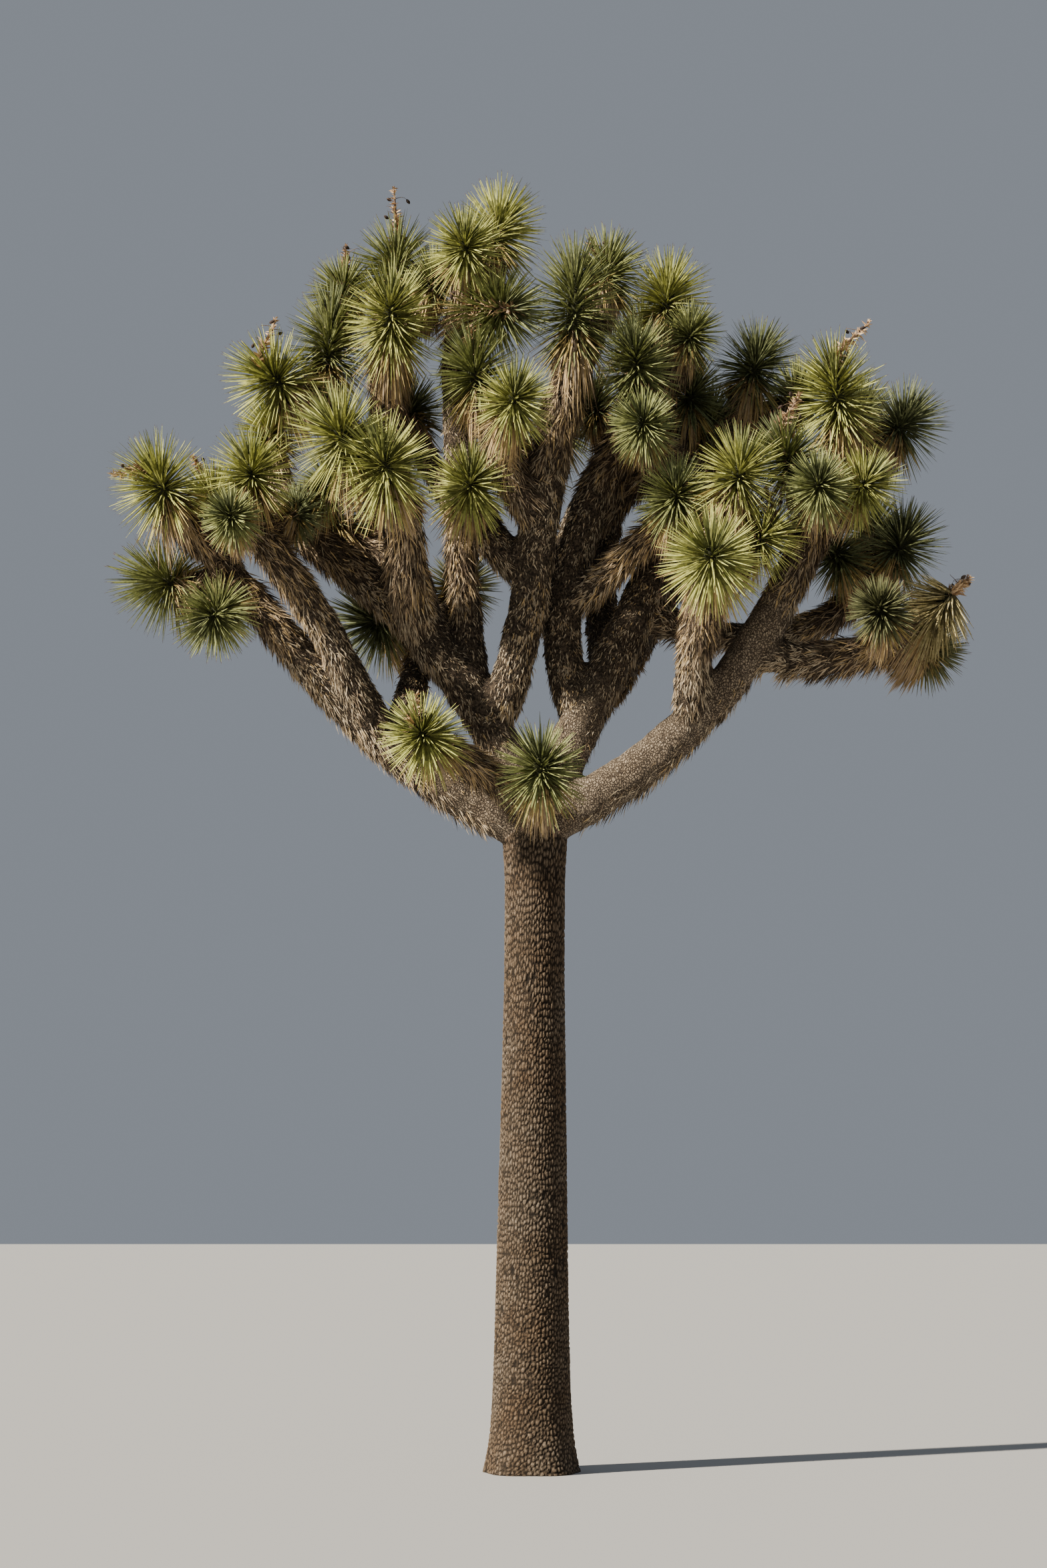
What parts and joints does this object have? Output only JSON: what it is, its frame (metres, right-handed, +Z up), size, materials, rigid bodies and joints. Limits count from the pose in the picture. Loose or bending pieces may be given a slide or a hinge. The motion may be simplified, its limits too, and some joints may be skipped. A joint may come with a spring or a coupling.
{
  "type": "joshua tree",
  "caption": "Whole Joshua tree: a bare corky trunk forks low into spreading boughs wrapped in dead leaves, each ending in rosettes of stiff dagger leaves.",
  "frame": {"origin": "centre of the trunk's flat cut at ground level", "axes": "+Z up along the trunk, -Y towards the camera of the picture, -X the crown's left side there"},
  "size_m": [4.8528, 3.087, 7.3189],
  "materials": {
    "bark": "rough corky bark plates",
    "thatch": "shaggy thatch of dry dead leaves",
    "leaves": "stiff satin leaves"
  },
  "bodies": {
    "root": {"trunk": "bark", "bough_left": "thatch", "bough_right": "thatch", "stem_left": "thatch", "stem_right": "thatch", "bough_left_inner": "thatch", "bough_left_rear": "thatch", "bough_left_low": "thatch", "bough_left_high": "thatch", "bough_left_shoulder": "thatch", "bough_left_slim": "thatch", "bough_centre": "thatch", "bough_top": "thatch", "bough_centre_near": "thatch", "bough_centre_right": "thatch", "bough_right_shoulder": "thatch", "bough_right_arm": "thatch", "bough_right_rear": "thatch", "bough_right_level": "thatch", "bough_right_near": "thatch", "bough_right_high": "thatch", "bough_right_low": "thatch", "spur_near": "thatch", "spur_left": "thatch", "bough_back_left": "thatch", "bough_back_centre": "thatch", "bough_back_right": "thatch", "rosettes_left_tip": "leaves", "rosettes_left_inner": "leaves", "rosettes_left_stem": "leaves", "rosettes_left_low": "leaves", "rosettes_left_shoulder": "leaves", "rosettes_left_high": "leaves", "rosettes_left_slim": "leaves", "rosettes_left_rear": "leaves", "rosettes_top": "leaves", "rosettes_centre": "leaves", "rosettes_centre_near": "leaves", "rosettes_centre_right": "leaves", "rosettes_right_shoulder": "leaves", "rosettes_right_rear": "leaves", "rosettes_right_stem": "leaves", "rosettes_right_arm": "leaves", "rosettes_right_near": "leaves", "rosettes_right_tip": "leaves", "rosettes_right_high": "leaves", "rosettes_right_level": "leaves", "rosettes_right_low": "leaves", "rosette_spur_near": "leaves", "rosette_spur_left": "leaves", "rosettes_back_left": "leaves", "rosettes_back_centre": "leaves", "rosettes_back_right": "leaves"}
  },
  "joints": []
}
